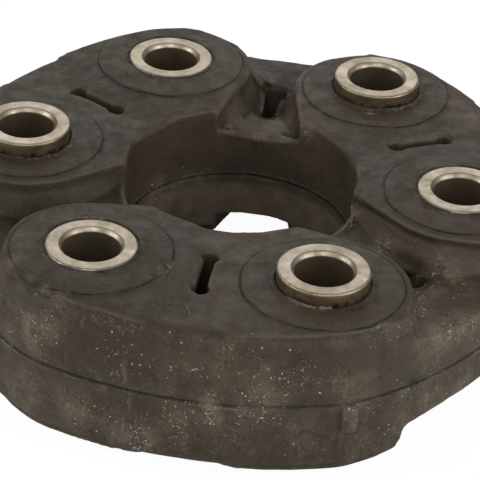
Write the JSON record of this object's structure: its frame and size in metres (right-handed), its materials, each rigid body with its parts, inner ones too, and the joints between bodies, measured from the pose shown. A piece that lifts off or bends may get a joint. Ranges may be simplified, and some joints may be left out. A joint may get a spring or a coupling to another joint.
{
  "type": "drive shaft flex joint",
  "caption": "Round moulded rubber coupling disc for a drive shaft, with steel bushes proud on each face by turns, slotted links and an open centre.",
  "frame": {"origin": "on the shaft axis in the middle plane of the disc, which is the mould's parting plane", "axes": "+Z along the shaft axis, towards the face where bush_2, bush_4 and bush_6 stand proud; bush_1 is on +X"},
  "size_m": [0.133, 0.1296, 0.0414],
  "materials": {
    "rubber": "matt moulded rubber, dusty and scuffed on the wall",
    "bush_steel": "turned steel, dull grey, with brown dirt by the rubber",
    "collar_steel": "pressed sheet steel",
    "cord": "wound polyester cord"
  },
  "bodies": {
    "root": {"bush_1": "bush_steel", "upper_collar_1": "collar_steel", "lower_collar_1": "collar_steel", "bush_2": "bush_steel", "upper_collar_2": "collar_steel", "lower_collar_2": "collar_steel", "bush_3": "bush_steel", "upper_collar_3": "collar_steel", "lower_collar_3": "collar_steel", "bush_4": "bush_steel", "upper_collar_4": "collar_steel", "lower_collar_4": "collar_steel", "bush_5": "bush_steel", "upper_collar_5": "collar_steel", "lower_collar_5": "collar_steel", "bush_6": "bush_steel", "upper_collar_6": "collar_steel", "lower_collar_6": "collar_steel", "upper_drive_loop_1_2": "cord", "lower_drive_loop_1_2": "cord", "upper_drive_loop_3_4": "cord", "lower_drive_loop_3_4": "cord", "upper_drive_loop_5_6": "cord", "lower_drive_loop_5_6": "cord", "thrust_loop_2_3": "cord", "thrust_loop_4_5": "cord", "thrust_loop_6_1": "cord", "rubber_body": "rubber"}
  },
  "joints": []
}
